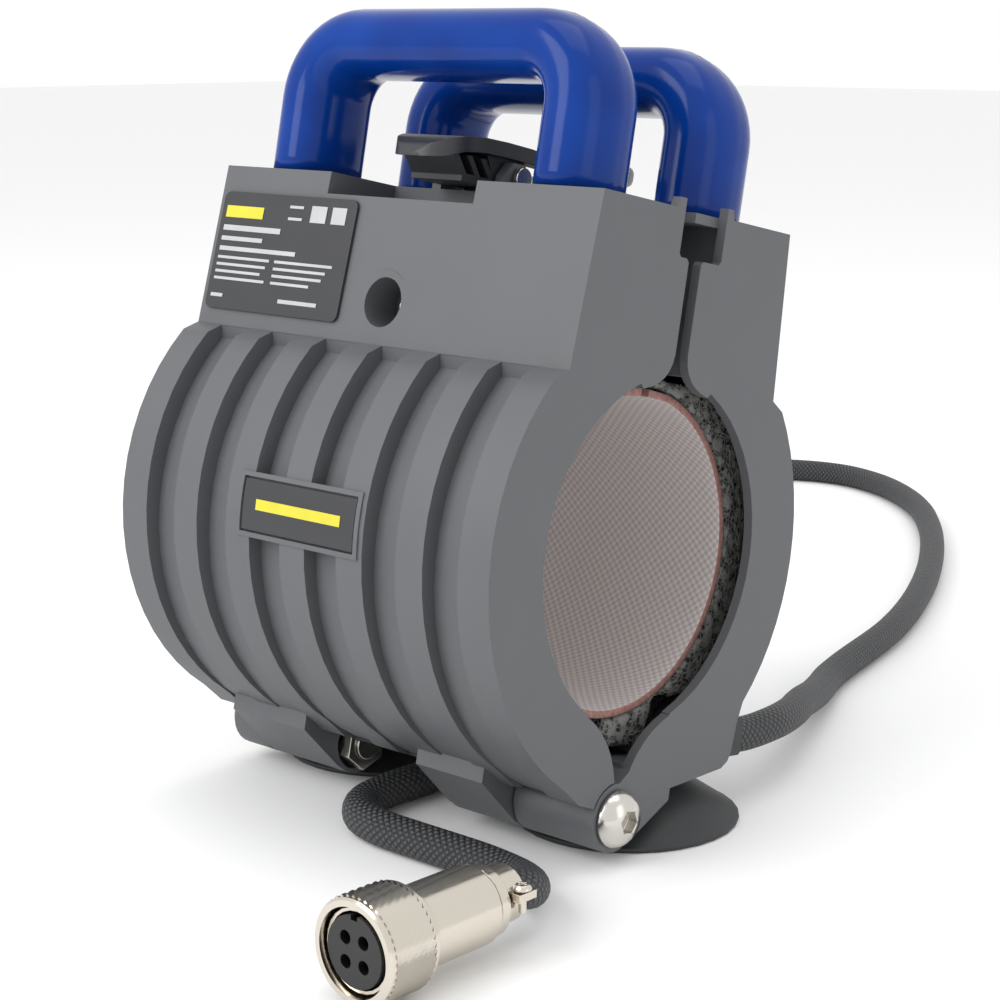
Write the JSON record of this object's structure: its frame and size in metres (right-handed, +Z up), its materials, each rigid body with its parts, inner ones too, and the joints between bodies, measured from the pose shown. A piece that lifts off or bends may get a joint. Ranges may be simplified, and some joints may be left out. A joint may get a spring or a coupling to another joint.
{
  "type": "mug heat press",
  "caption": "Clamshell mug heat press: two ribbed half shells hinged along the bottom, lever latch between two U handles, padded round heater, suction feet, cord with round connector.",
  "frame": {"origin": "On the standing surface, under the middle of the press; the free cord and its connector are not counted.", "axes": "+X along the mug axis and the hinge, towards the end that the cord leaves by; +Y towards the half with the feet; -Y towards the half that opens; +Z up"},
  "size_m": [0.2935, 0.5239, 0.1998],
  "materials": {
    "shell_plastic": "fine matt texture",
    "handle_plastic": "high gloss",
    "foam": "open-cell sponge",
    "silicone_mat": "fine fabric texture",
    "stainless": "machined",
    "label_film": "satin film",
    "black_plastic": "satin",
    "rubber": "matt",
    "nickel_plate": "satin nickel plate",
    "braid": "braided sleeve"
  },
  "bodies": {
    "rear_half": {"rear_shell": "shell_plastic", "rear_handle": "handle_plastic", "rear_foam_pad": "foam", "rear_heater_mat": "silicone_mat", "rear_handle_screw_left": "stainless", "rear_handle_screw_right": "stainless", "catch_plate": "black_plastic", "catch_screw_left": "stainless", "catch_screw_right": "stainless", "hinge_bolt_near": "stainless", "hinge_bolt_far": "stainless", "hinge_nut_near": "stainless", "hinge_nut_far": "stainless", "cord_gland": "rubber", "thermostat": "nickel_plate", "terminal_block": "black_plastic", "foot_left": "rubber", "foot_right": "rubber", "foot_screw_left": "stainless", "foot_screw_right": "stainless", "cord": "braid", "connector_body": "nickel_plate", "insulator": "black_plastic", "connector_collar": "nickel_plate", "clamp_saddle": "nickel_plate", "clamp_screw_left": "nickel_plate", "clamp_screw_right": "nickel_plate"},
    "front_half": {"front_shell": "shell_plastic", "front_handle": "handle_plastic", "front_foam_pad": "foam", "front_heater_mat": "silicone_mat", "front_handle_screw_left": "stainless", "front_handle_screw_right": "stainless", "panel_screw": "stainless", "badge_plate": "label_film", "rating_label": "label_film", "latch_pin": "stainless"},
    "latch_lever": {"latch_lever": "black_plastic"},
    "draw_rod": {"draw_rod": "stainless", "adjuster_screw": "stainless"},
    "adjuster_disc": {"adjuster_disc": "black_plastic"},
    "coupling_nut": {"coupling_nut": "nickel_plate"}
  },
  "joints": [
    {"name": "front_half_hinge", "type": "hinge", "parent": "rear_half", "child": "front_half", "pos_m": [0, -0.0151, 0.012], "axis": [1, 0, 0], "range_deg": [-1, 36]},
    {"name": "latch_lever_lift", "type": "hinge", "parent": "front_half", "child": "latch_lever", "pos_m": [0, 0.00765, 0.15876], "axis": [1, 0, 0], "range_deg": [-28, 3]},
    {"name": "draw_rod_lift", "type": "hinge", "parent": "front_half", "child": "draw_rod", "pos_m": [0, 0.00765, 0.15876], "axis": [1, 0, 0], "range_deg": [0, 10]},
    {"name": "adjuster_disc_turn", "type": "hinge", "parent": "draw_rod", "child": "adjuster_disc", "pos_m": [0, 0.04642, 0.15846], "axis": [0, 0.2062, 0.9785], "continuous": true},
    {"name": "coupling_nut_turn", "type": "hinge", "parent": "rear_half", "child": "coupling_nut", "pos_m": [0.076, -0.1061, 0.0122], "axis": [0, -1, 0], "continuous": true}
  ]
}
